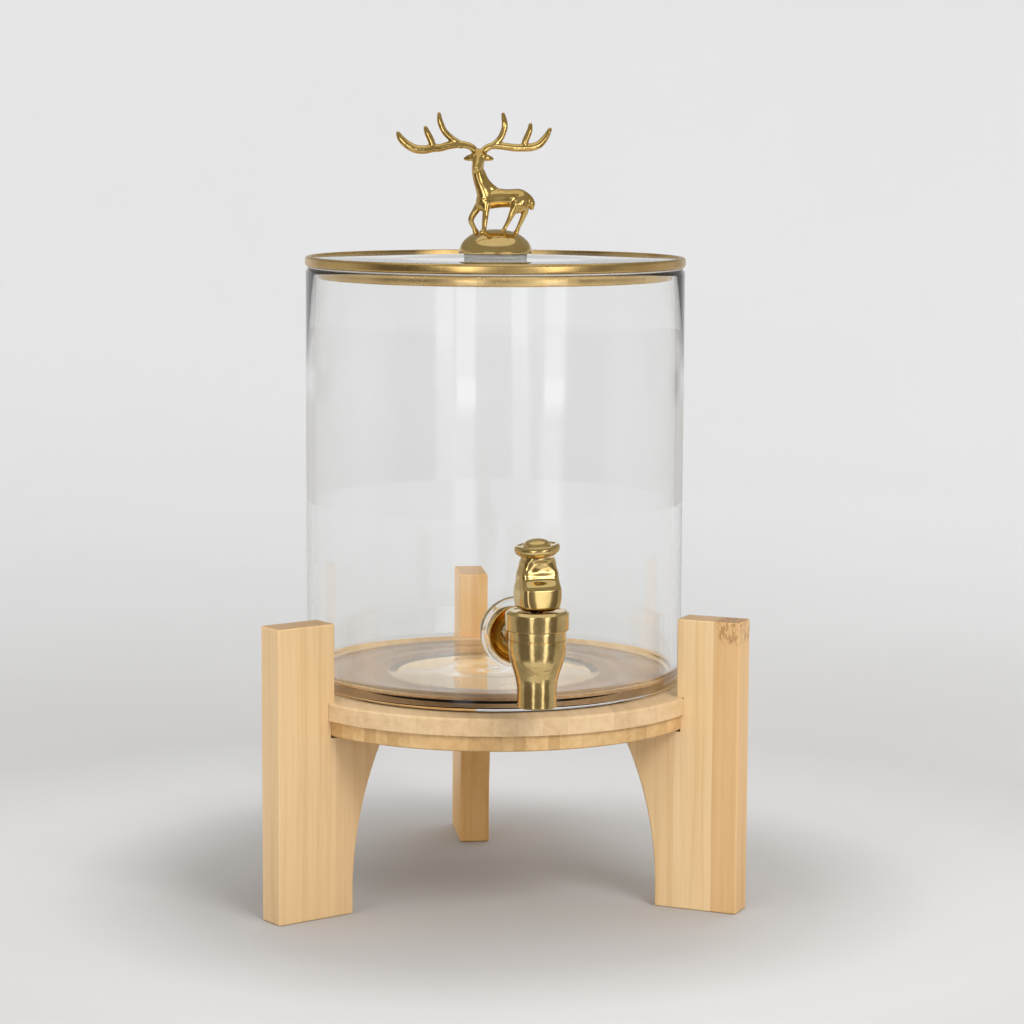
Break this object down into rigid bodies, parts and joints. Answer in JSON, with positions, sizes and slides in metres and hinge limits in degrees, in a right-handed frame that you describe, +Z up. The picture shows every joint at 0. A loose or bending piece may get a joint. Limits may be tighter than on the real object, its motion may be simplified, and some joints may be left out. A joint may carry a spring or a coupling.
{
  "type": "countertop water dispenser",
  "caption": "Glass countertop dispenser jar with a lever tap, lift-off glass lid with a stag knob, and a bamboo tripod stand.",
  "frame": {"origin": "on the jar's axis at the table, under the middle of the stand", "axes": "+Z up; -Y is the front, where the tap is; +X to the right seen from the front"},
  "size_m": [0.2274, 0.2588, 0.3722],
  "materials": {
    "bamboo": "clear-oiled honey bamboo, fine straight grain",
    "bamboo_shelf": "clear-oiled bamboo strips",
    "dowel_wood": "plain wood",
    "clear_glass": "clear, polished",
    "gold": "polished yellow gold plating",
    "satin_gold": "satin gold plating",
    "clear_silicone": "translucent soft silicone",
    "steel": "plain stainless steel",
    "zinc_screw": "zinc-plated steel"
  },
  "bodies": {
    "stand": {"leg_left": "bamboo", "leg_right": "bamboo", "leg_rear": "bamboo", "shelf_top": "bamboo_shelf", "shelf_bottom": "bamboo_shelf", "leg_dowels": "dowel_wood", "shelf_screws": "zinc_screw"},
    "jar": {"jar": "clear_glass", "tap_body": "gold", "tap_bonnet": "gold", "tap_bonnet_oring": "clear_silicone", "tap_nut": "gold", "tap_rosette": "gold", "tap_washer_outer": "clear_silicone", "tap_washer_inner": "clear_silicone", "tap_spring": "steel"},
    "lid": {"lid_plate": "clear_glass", "lid_rim": "satin_gold", "lid_seal": "clear_silicone", "lid_skirt": "satin_gold", "knob_washer_top": "clear_silicone", "knob_washer_low": "clear_silicone", "knob_washer_metal": "steel", "knob_screw": "steel", "knob_dome": "gold", "knob_stag": "gold"},
    "tap_lever": {"tap_handle": "gold", "tap_handle_cap": "gold"},
    "tap_valve": {"tap_stem": "steel", "tap_seal": "clear_silicone", "tap_pin": "steel"}
  },
  "joints": [
    {"name": "jar_lift", "type": "slide", "parent": "stand", "child": "jar", "axis": [0, 0, 1], "range_m": [0, 0.05]},
    {"name": "lid_lift", "type": "slide", "parent": "jar", "child": "lid", "axis": [0, 0, 1], "range_m": [0, 0.03]},
    {"name": "lever_tilt", "type": "hinge", "parent": "jar", "child": "tap_lever", "pos_m": [0.00768, -0.12466, 0.156], "axis": [0.9763, 0.2164, 0], "range_deg": [0, 30], "stiffness_Nm_per_rad": 0.04, "springref_deg": -34.38},
    {"name": "valve_lift", "type": "slide", "parent": "jar", "child": "tap_valve", "axis": [0, 0, 1], "range_m": [0, 0.0053], "deforming": ["tap_spring"]}
  ],
  "couplings": [
    {"joint": "valve_lift", "follows": "lever_tilt", "m_per_rad": 0.01}
  ]
}
